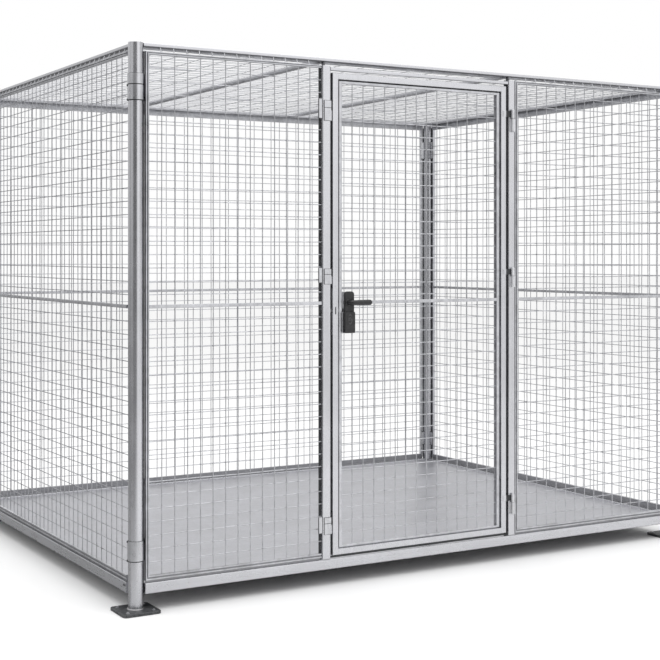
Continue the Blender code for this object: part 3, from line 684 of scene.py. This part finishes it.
def cut_off(shape, x, way):
    """Cut away what lies past x, towards way (1 or -1), and close the cut."""
    cut = bmesh.ops.bisect_plane(shape, geom=shape.verts[:] + shape.edges[:] + shape.faces[:], plane_co=(x, 0, 0),
                                 plane_no=(way, 0, 0), clear_outer=True)["geom_cut"]
    bmesh.ops.holes_fill(shape, edges=[item for item in cut if isinstance(item, bmesh.types.BMEdge)])


def twin_ridge(outer, inner, groove=0.006):
    """A panel frame's section: two rounded ridges with a groove between them."""
    soft = outer + 0.0013
    return [(0.0, inner), (0.0, soft), (0.07, outer), (0.31, outer), (0.37, soft), (0.37, outer + groove),
            (0.63, outer + groove), (0.63, soft), (0.69, outer), (0.93, outer), (1.0, soft), (1.0, inner)]


def shade_groove(shape, depth):
    """Give the floor of the groove between a frame's two ridges the darker zinc: painted shade."""
    for face in shape.faces:
        if face.normal.y < -0.9 and face.calc_center_median().y > depth:
            face.material_index = 2


def wall_panels():
    """The five fixed panels: frame, mid rail and welded mesh, with black strips in the gaps beside them as painted
    shade.

    The front left panel and the left panel have no stile on one side: a slim bar lies behind the wires' ends, black
    with painted shade on the front left panel.
    """
    hook_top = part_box("top_rail_front")[0].z + RAIL_LIP + 0.001
    for name, side in (("front_left", "front"), ("front_right", "front"), ("left", "left"), ("right", "right"),
                       ("back", "back")):
        node = "wall_panel_" + name
        low, high = wall_box(node, side)
        slim = name in ("front_left", "left")
        foot = low.z + PANEL_SKIRT
        rim = (low.x, foot, high.x + 2 * STILE * slim, high.z)
        shape = mitred_frame(rim, (STILE, PANEL_FOOT, STILE, PANEL_HEAD), twin_ridge(low.y, high.y))
        if slim:
            cut_off(shape, high.x, 1)
        shade_groove(shape, low.y + 0.003)
        # The inside of the back and right panels' feet gets the darker zinc: painted shade.
        if name in ("back", "right"):
            for face in shape.faces:
                if face.normal.y > 0.9 and face.calc_center_median().z < foot + PANEL_FOOT:
                    face.material_index = 2
        left, right = low.x + STILE, high.x - STILE
        bottom, top = foot + PANEL_FOOT, high.z - PANEL_HEAD
        wires_end = high.x + WIRE_TUCK if slim else right + WIRE_TUCK
        field = (left - WIRE_TUCK, bottom - WIRE_TUCK, wires_end, top + WIRE_TUCK)
        # A dark strip under each panel's foot: painted shade in the gap above the base beam.
        add(shape, block((low.x, low.y + 0.010, low.z), (high.x, low.y + 0.013, foot + 0.003)), finish=2)
        add(shape, wire_field(field, PANEL_UPRIGHTS, PANEL_LEVELS, hook=(HOOK_DEPTH, hook_top)))
        add(shape, mid_rail(left, high.x if slim else right, PANEL_RAIL))
        # The front left panel's slim bar is black: painted shade.
        if name == "front_left":
            add(shape, block((high.x - SLIM_STILE, -0.0150, bottom), (high.x, high.y, top), 0.001, 1), finish=1)
        elif name == "left":
            add(shape, block((high.x - SLIM_STILE, -0.0125, bottom), (high.x, high.y, top), 0.001, 1))
        if name in ("back", "right"):
            add(shape, block((low.x, -0.0088, high.z - 0.003), (high.x, -0.0068, hook_top), SHEET_EDGE, 1))
        # Black strips in the gaps at the panel's ends: painted shade.
        if name != "left":
            for x in (low.x - 0.0052, high.x + 0.0012):
                add(shape, block((x, -0.0100, low.z), (x + 0.0040, -0.0045, high.z)), finish=1)
        piece("panel_" + name, shape, [WIRE, SHADE_BLACK, SHADED_ZINC], [node], place=wall_place(side),
              crease=65)


def mid_rail(left, right, faces):
    """A pair of flat bars, one on each face of the mesh."""
    low, high = MID_RAIL
    outer, inner = faces
    shape = block((left, outer, low), (right, outer + MID_BAR, high), 0.0011, 2, along=0)
    add(shape, block((left, inner - MID_BAR, low), (right, inner, high), 0.0011, 2, along=0))
    return shape


def roof_panels():
    """Three mesh panels that lie between the top rails and the roof beams."""
    for bay in ("left", "middle", "right"):
        node = "roof_panel_" + bay
        low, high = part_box(node)
        flat = Matrix(((1, 0, 0, 0), (0, 0, 1, 0), (0, 1, 0, 0), (0, 0, 0, 1)))
        rim = (low.x, low.y, high.x, high.y)
        shape = mitred_frame(rim, (ROOF_SIDE, ROOF_END, ROOF_SIDE, ROOF_END), twin_ridge(low.z, high.z, 0.004))
        inner = (low.x + ROOF_SIDE - WIRE_TUCK / 2, low.y + ROOF_END - WIRE_TUCK,
                 high.x - ROOF_SIDE + WIRE_TUCK / 2, high.y - ROOF_END + WIRE_TUCK)
        middle = (low.z + high.z) / 2
        add(shape, wire_field(inner, middle - ROOF_WIRE, middle + 0.8 * ROOF_WIRE, cell=ROOF_CELL,
                              radius=ROOF_WIRE, sway=ROOF_SWAY))
        bmesh.ops.transform(shape, matrix=flat, verts=shape.verts)
        bmesh.ops.recalc_face_normals(shape, faces=shape.faces)
        piece("roof_mesh_" + bay, shape, [WIRE], [node], crease=65)


# ---------------------------------------------------------------- door and its surround


def mullions():
    """Two square tubes beside the door, each with a spigot up to the top rail, and the bar over the door."""
    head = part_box("wall_panel_back")[1].z
    for side in ("left", "right"):
        low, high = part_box("mullion_" + side)
        hinge_room = HINGE_ROOM if side == "right" else 0.0
        shape = block((low.x + hinge_room, low.y, low.z), (high.x, high.y, head), 0.0040, 4, along=2)
        middle = (low.x + high.x) / 2
        add(shape, block((middle - 0.0045, low.y + 0.021, head), (middle + 0.0045, high.y - 0.002,
                         high.z + RAIL_LIP), 0.001, 1), finish=3)
        weld = low.z + 0.0008
        for y in (low.y, high.y):
            add(shape, rod((low.x + 0.003, y, weld), (high.x - 0.003, y, weld), 0.0019, sides=10), finish=1)
        # A black strip in the gap beside the door: painted shade.
        if side == "left":
            strip = (high.x, high.x + GAP_SHADE_STRIP)
        else:
            strip = (low.x - GAP_SHADE_STRIP, low.x + hinge_room)
        add(shape, block((strip[0], low.y + 0.017, low.z), (strip[1], low.y + 0.023, head), SHEET_EDGE, 1), finish=2)
        piece("door_post_" + side, shape, [UPRIGHT, WELD, SHADE_BLACK, FASTENER_AND_SHADE], ["mullion_" + side])
    low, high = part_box("door_header")
    shape = block(low, high, 0.0022, 3, along=0)
    # A black strip under the door: painted shade in the gap over the base beam.
    door_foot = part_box("door_frame")[0].z
    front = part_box("mullion_left")[0].y
    add(shape, block((low.x + 0.001, front + 0.004, door_foot - 0.0105), (high.x - 0.001, front + 0.008,
                     door_foot - 0.0016), SHEET_EDGE, 1), finish=1)
    piece("door_bar", shape, [ACROSS, SHADE_BLACK], ["door_header"])


def mullion_clamps():
    """Clamps at the left mullion: a tab over the panel's edge, a sleeve in two parts and a short dowel, over dark
    plates whose edges show as painted shade.
    """
    post_low, post_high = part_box("mullion_left")
    for level in LEVELS:
        node = "mullion_clamp_" + level
        low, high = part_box(node)
        tall = high.z - low.z
        face = post_low.y
        tab = low.z + 0.10 * tall
        shape = block((low.x + 0.002, low.y, tab), (post_low.x - 0.0040, face + 0.004, high.z), 0.0012)
        # Dark plates behind the tab and between the tab and the mullion: painted shade round their outlines.
        add(shape, block((low.x + 0.0010, low.y + 0.0010, tab - 0.0014),
                         (post_low.x - 0.0030, face + 0.004, high.z - 0.0008), SHEET_EDGE, 1), finish=1)
        add(shape, block((low.x + 0.006, face + 0.001, low.z + 0.3 * tall), (post_low.x + 0.002, face + 0.004,
                         high.z - 0.3 * tall), SHEET_EDGE, 1), finish=1)
        split = low.z + 0.60 * tall
        top = low.z + 0.93 * tall
        for bottom, upper in ((low.z, split - 0.0012), (split + 0.0012, top)):
            add(shape, block((post_low.x + 0.0080, low.y, bottom), (post_high.x + 0.0012, face + 0.001, upper),
                             0.0008))
            add(shape, block((post_high.x - 0.001, low.y + 0.001, bottom), (post_high.x + 0.0012, face + 0.012, upper),
                             SHEET_EDGE, 1))
        # The dark plate behind the sleeve: painted shade round its outline.
        add(shape, block((post_low.x + 0.0060, low.y + 0.0010, low.z - 0.0016), (post_high.x + 0.0004, face + 0.001,
                         top + 0.0016), SHEET_EDGE, 1), finish=1)
        dowel = (post_high.x + 0.0052, face + 0.004)
        add(shape, rod((*dowel, low.z), (*dowel, low.z + 0.48 * tall), 0.0030, sides=16, chamfer=0.0006))
        piece("door_post_clamp_" + level, shape, [CLAMP, FASTENER_AND_SHADE], [node])


def hinges():
    """Three lift-off hinges: turned knuckles with a visible split, pin, washer and welded leaves. The zinc is painted
    lighter as a highlight, and the split and outlines darker as painted shade.
    """
    for level in LEVELS:
        low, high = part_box("hinge_mullion_" + level)
        door_low, door_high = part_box("hinge_door_" + level)
        radius = KNUCKLE_RADIUS
        axis_x = low.x + radius
        axis_y = low.y + radius
        bottom = low.z
        split = door_low.z
        under = split - 0.0014
        back = axis_y + radius
        shape = rod((axis_x, axis_y, bottom), (axis_x, axis_y, under), radius, chamfer=0.0008)
        # A dark ring in the split: painted shade.
        add(shape, rod((axis_x, axis_y, split - 0.0016), (axis_x, axis_y, split - 0.0002), radius - 0.0016),
            finish=1)
        add(shape, rod((axis_x, axis_y, bottom), (axis_x, axis_y, door_high.z - 0.001), PIN_RADIUS, sides=16,
                       chamfer=0.0008), finish=1)
        add(shape, block((axis_x - 0.0150, axis_y + 0.0050, bottom), (high.x, back, under), SHEET_EDGE, 1))
        # A dark strip beside the knuckle: painted shade as an outline.
        add(shape, block((axis_x - 0.0092, axis_y + 0.0042, bottom), (axis_x - 0.0080, back, under)), finish=1)
        add(shape, rod((high.x, back, bottom + 0.004), (high.x, back, split - 0.005), 0.0016, sides=10,
                       chamfer=0.0006), finish=2)
        piece("hinge_fixed_" + level, shape, [KNUCKLE_HIGHLIGHT, FASTENER_AND_SHADE, WELD], ["hinge_mullion_" + level])
        top = door_high.z
        sleeve = [(0.0046, split), (radius - 0.0008, split), (radius, split + 0.0008), (radius, top - 0.0008),
                  (radius - 0.0008, top), (0.0046, top)]
        shape = turned(sleeve, (axis_x, axis_y, 0), steps=24)
        add(shape, rod((axis_x, axis_y, top - 0.0012), (axis_x, axis_y, top + 0.0016), 0.0058, chamfer=0.0008))
        stile_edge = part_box("door_frame")[1].x - 0.001
        leaf_low, leaf_top = split + 0.006, top - 0.006
        add(shape, block((door_low.x, back - 0.0014, leaf_low), (stile_edge, back, leaf_top), SHEET_EDGE, 1),
            finish=2)
        # The strap across the gap is black: painted shade.
        add(shape, block((stile_edge - 0.001, back - 0.0020, leaf_low), (axis_x - 0.0046, back, leaf_top),
                         SHEET_EDGE, 1), finish=1)
        piece("hinge_leaf_" + level, shape, [KNUCKLE_HIGHLIGHT, SHADE_BLACK, UPRIGHT], ["hinge_door_" + level], "door")


def door_tube():
    """The door's tube frame: seams at its mitres, a latch slot painted as a black plate of shade, two screws, and
    strips on its edge.
    """
    low, high = wall_box("door_frame")
    out, back = low.y, high.y
    section = [(0.0, back - 0.003), (0.0, out + 0.0034), (0.03, out + 0.0012), (0.12, out), (0.88, out),
               (0.97, out + 0.0012), (1.0, out + 0.0034), (1.0, back - 0.003), (0.9, back), (0.1, back)]
    shape = mitred_frame((low.x, low.z, high.x, high.z), (DOOR_STILE, DOOR_FOOT, DOOR_STILE, DOOR_HEAD), section)
    seam = 0.93 * DOOR_HEAD
    head, foot = high.z - DOOR_HEAD, low.z + DOOR_FOOT
    for bottom, top in ((head, head + seam), (foot - seam, foot)):
        for x in (low.x + DOOR_STILE, high.x - DOOR_STILE):
            add(shape, block((x - SEAM, out - 0.0002, bottom), (x + SEAM, out + 0.002, top)), finish=1)
    face = low.x + DOOR_STILE / 2
    latch = centre_of("latch_bolt").z
    # The latch slot is a black plate on the face: painted shade in its place.
    add(shape, block((face - 0.0030, out - 0.0004, latch - 0.016), (face + 0.0030, out + 0.002, latch + 0.016),
                     0.0008, 1), finish=2)
    for z in (latch - 0.115, latch + 0.105):
        add(shape, rod((face, out + 0.001, z), (face, out - 0.0012, z), 0.0038, sides=16, chamfer=SEAM), finish=1)
    for bottom, top in ((latch - 0.105, latch - 0.0085), (latch + 0.0085, latch + 0.095)):
        add(shape, block((low.x - 0.0012, out + 0.004, bottom), (low.x + 0.001, back - 0.004, top), 0.0004, 1),
            finish=1)
    piece("door_tube", shape, [UPRIGHT, CLAMP, SHADE_BLACK], ["door_frame"], "door", place=wall_place("front"))


def door_mesh():
    """The door's mesh in its bead; the bead's groove is black round three sides and a strip of darker zinc lies inside
    the fourth, both painted shade.
    """
    low, high = wall_box("door_panel")
    out, back = low.y, high.y
    # The share of the bead's width taken by its groove, which is black as painted shade.
    shaded_share = 0.28
    bead = [(0.0, back), (0.0, back - 0.003), (shaded_share, back - 0.003), (shaded_share, out + 0.0018), (shaded_share + 0.08, out),
            (0.92, out), (1.0, out + 0.0018), (1.0, back)]
    shape = mitred_frame((low.x, low.z, high.x, high.z), (BEAD_SIDE, BEAD_FOOT, BEAD_SIDE, BEAD_HEAD), bead)
    # Faces of the bead's groove that face out turn black: painted shade.
    for face in shape.faces:
        spot = face.calc_center_median()
        seen = spot.y > back - 0.0032 and face.normal.y < -0.5
        if seen and spot.z > low.z + BEAD_FOOT and spot.x < high.x - BEAD_SIDE:
            face.material_index = 1
    left, right = low.x + BEAD_SIDE - WIRE_TUCK, high.x - BEAD_SIDE + WIRE_TUCK
    bottom, top = low.z + BEAD_FOOT - WIRE_TUCK, high.z - BEAD_HEAD + WIRE_TUCK
    add(shape, wire_field((left, bottom, right, top), DOOR_UPRIGHTS, DOOR_LEVELS))
    add(shape, mid_rail(left, right, DOOR_RAIL))
    # A darker zinc strip inside the right side of the bead: painted shade.
    add(shape, block((right - 0.0090, -0.0110, bottom), (right, back, top), SHEET_EDGE, 1), finish=2)
    piece("door_mesh", shape, [WIRE, SHADE_BLACK, SHADED_ZINC], ["door_panel"], "door",
          wall_place("front"), crease=65)


def front_rims(shape, face):
    """The edges round the front of a block."""
    return [edge for edge in shape.edges if max(point.co.y for point in edge.verts) < face + SHEET_EDGE]


def oval_ring(centre, half_width, half_height, thickness, face):
    """A raised oval ring on a face that looks to the front."""
    tube = [(1 + 0.16 * math.cos(angle), 0.5 * thickness * math.sin(angle))
            for angle in (math.radians(step) for step in range(0, 360, 45))]
    shape = turned(tube, (0, 0, 0), steps=40)
    bmesh.ops.scale(shape, vec=(half_width, half_height, 1), verts=shape.verts)
    bmesh.ops.transform(shape, matrix=Matrix.Translation((centre[0], face, centre[1])) @
                        Matrix.Rotation(QUARTER, 4, "X"), verts=shape.verts)
    return shape


def lock():
    """The lock's cover with its cylinder housing, and its lever."""
    low, high = wall_box("lock_cover")
    back = high.y
    proud = low.y
    shape = block((low.x + 0.005, LOCK_FACE, low.z + 0.010), (high.x - 0.0006, back, high.z), 0.0135, 6, along=1)
    soften(shape, front_rims(shape, LOCK_FACE), 0.0020, 3)
    housing_top = low.z + 0.092
    housing = block((low.x, proud, low.z), (high.x, back, housing_top), 0.0065, 5, along=1)
    soften(housing, front_rims(housing, proud), 0.0022, 3)
    add(shape, housing)
    key = centre_of("lock_plug")
    add(shape, oval_ring((key.x, key.z), 0.0100, 0.0195, 0.0030, proud), finish=1)
    # A black line at the top of the housing: painted shade.
    add(shape, block((low.x + 0.006, LOCK_FACE - 0.0012, housing_top - 0.001),
                     (high.x - 0.0012, back, housing_top + 0.0015), 0.0004, 1), finish=2)
    x, z = wall_box("lever_handle")[0].x + LEVER_REACH, centre_of("lever_handle").z
    add(shape, rod((x, LOCK_FACE + 0.001, z), (x, LOCK_FACE - 0.0022, z), 0.0145, sides=36, chamfer=0.0010),
        finish=1)
    piece("lock_face", shape, [BLACK, RUBBED_BLACK, SHADE_BLACK], ["lock_cover"], "door",
          wall_place("front"))
    lever(x, z)


def lever(x, z):
    """A round lever: its neck stands out from the lock at x, z, and bends over into the grip."""
    neck = LOCK_FACE - 0.0026
    out = wall_box("lever_handle")[0].y + LEVER_REACH
    shape = bmesh.new()
    bmesh.ops.create_circle(shape, cap_ends=False, segments=24, radius=LEVER_RADIUS)
    bmesh.ops.transform(shape, matrix=Matrix.Rotation(QUARTER, 4, "X"), verts=shape.verts)
    bmesh.ops.translate(shape, vec=(x, neck, z), verts=shape.verts)
    edges = shape.edges[:]
    bmesh.ops.holes_fill(shape, edges=edges)
    edges = draw_out(shape, edges, (0, out + LEVER_BEND - neck, 0))
    bent = bmesh.ops.spin(shape, geom=edges + list({point for edge in edges for point in edge.verts}),
                          cent=(x + LEVER_BEND, out + LEVER_BEND, z), axis=(0, 0, 1), angle=QUARTER, steps=8,
                          use_merge=False)
    edges = [item for item in bent["geom_last"] if isinstance(item, bmesh.types.BMEdge)]
    for run, size in ((0.014, 1.0), (0.006, 1.07), (0.058, 1.04), (0.005, 0.96), (0.0045, 0.70)):
        edges = draw_out(shape, edges, (run, 0, 0), size)
    bmesh.ops.holes_fill(shape, edges=edges)
    bmesh.ops.recalc_face_normals(shape, faces=shape.faces)
    piece("lever", shape, [BLACK], ["lever_handle"], "lever", wall_place("front"))


def draw_out(shape, edges, run, size=1.0):
    """Carry the open end of a tube further on, and change its size."""
    made = bmesh.ops.extrude_edge_only(shape, edges=edges)["geom"]
    points = [item for item in made if isinstance(item, bmesh.types.BMVert)]
    bmesh.ops.translate(shape, vec=run, verts=points)
    middle = sum((point.co for point in points), Vector()) / len(points)
    bmesh.ops.scale(shape, vec=(size, size, size), verts=points, space=Matrix.Translation(-middle))
    return [item for item in made if isinstance(item, bmesh.types.BMEdge)]


def keep_cad_nodes():
    """CAD nodes whose shape is already right get their finishes."""
    for name, look in (("floor_sheet", FLOOR), ("lock_case", CLAMP), ("lock_plug", RUBBED_BLACK),
                       ("latch_bolt", LOCK_STEEL)):
        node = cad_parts[name]
        node.data.materials.clear()
        node.data.materials.append(look)


# ---------------------------------------------------------------- studio


FLOOR_REACH = 60
CAMERA_LENS = 73.6
CAMERA_SHIFT = -0.1142
CAMERA_SPOT = (-3.480, -6.104, 1.421)
CAMERA_TURN = -math.asin(0.5042)

# Soft boxes and dark cards round the cage: direction, where each starts and is full (cosines), and its strength
SOFT_BOXES = (((0.42, -0.906, 0.05), 0.86, 0.96, 0.60), ((-0.504, -0.864, 0.0), 0.82, 0.91, -0.66),
              ((0.728, -0.686, 0.0), 0.984, 0.997, -0.40), ((-0.955, 0.297, 0.0), 0.975, 0.996, -0.32))


def two_ways(tree, bounced, seen, output):
    """Show the camera one shader, and give every other ray another."""
    mix = add_node(tree, "ShaderNodeMixShader")
    feed(tree, add_node(tree, "ShaderNodeLightPath").outputs["Is Camera Ray"], mix.inputs[0])
    tree.links.new(bounced.outputs[0], mix.inputs[1])
    tree.links.new(seen.outputs[0], mix.inputs[2])
    tree.links.new(mix.outputs[0], add_node(tree, output).inputs["Surface"])


def studio_floor():
    """A pale floor; in the metal's reflections it is greyer under the cage and to its left, as painted shade."""
    mesh = bpy.data.meshes.new("studio_floor")
    ground = bmesh.new()
    bmesh.ops.create_grid(ground, x_segments=2, y_segments=2, size=FLOOR_REACH)
    ground.to_mesh(mesh)
    ground.free()
    new_object("studio_floor", mesh)
    look = bpy.data.materials.new("studio_paper")
    look.use_nodes = True
    paper = look.node_tree
    paper.nodes.clear()
    seen = add_node(paper, "ShaderNodeBsdfDiffuse")
    seen.inputs["Color"].default_value = (1, 1, 1, 1)
    bounced = add_node(paper, "ShaderNodeBsdfDiffuse")
    place = add_node(paper, "ShaderNodeTexCoord").outputs["Object"]
    # Reflections see a greyer floor under the cage and to its left: painted shade.
    in_front = spread(paper, part_of(paper, place, "Y"), -1.30, -1.00, 0.92, 0.36)
    to_the_left = spread(paper, part_of(paper, place, "X"), -3.2, -0.7, 0.26, 0.90)
    feed(paper, maths(paper, "MINIMUM", in_front, to_the_left), bounced.inputs["Color"])
    two_ways(paper, bounced, seen, "ShaderNodeOutputMaterial")
    mesh.materials.append(look)


def studio_light():
    """Soft light from all round with a few boxes and cards in it, and a wide lamp overhead."""
    world = bpy.data.worlds.new("studio")
    bpy.context.scene.world = world
    bpy.context.scene.view_settings.view_transform = "Standard"
    world.use_nodes = True
    tree = world.node_tree
    tree.nodes.clear()
    direction = add_node(tree, "ShaderNodeTexCoord").outputs["Generated"]
    light = spread(tree, part_of(tree, direction, "Z"), 0.0, 0.70, 0.80, 1.25)
    for way, start, end, strength in SOFT_BOXES:
        along = add_node(tree, "ShaderNodeVectorMath", operation="DOT_PRODUCT")
        feed(tree, direction, along.inputs[0])
        along.inputs[1].default_value = Vector(way).normalized()
        lobe = spread(tree, along.outputs["Value"], start, end, 0, strength, interpolation_type="SMOOTHSTEP")
        light = maths(tree, "ADD", light, lobe)
    room = add_node(tree, "ShaderNodeBackground")
    feed(tree, light, room.inputs["Strength"])
    backdrop = add_node(tree, "ShaderNodeBackground")
    backdrop.inputs["Color"].default_value = (1, 1, 1, 1)
    two_ways(tree, room, backdrop, "ShaderNodeOutputWorld")

    lamp = bpy.data.lights.new("overhead", "AREA")
    lamp.shape = "RECTANGLE"
    lamp.size = lamp.size_y = 8
    lamp.energy = 200
    made = new_object("overhead", lamp)
    made.location = (-0.8, -1.5, 6.5)
    made.rotation_euler = (math.radians(8), 0, 0)


def studio_camera():
    """A level camera with its lens shifted, so that uprights stay upright in the picture."""
    camera = bpy.data.cameras.new("camera")
    camera.lens = CAMERA_LENS
    camera.shift_y = CAMERA_SHIFT
    made = new_object("camera", camera)
    made.location = CAMERA_SPOT
    made.rotation_euler = (QUARTER, 0, CAMERA_TURN)
    bpy.context.scene.camera = made


posts()
ring_of_beams()
post_clamps()
wall_panels()
roof_panels()
mullions()
mullion_clamps()
hinges()
door_tube()
door_mesh()
lock()
keep_cad_nodes()
studio_floor()
studio_light()
studio_camera()
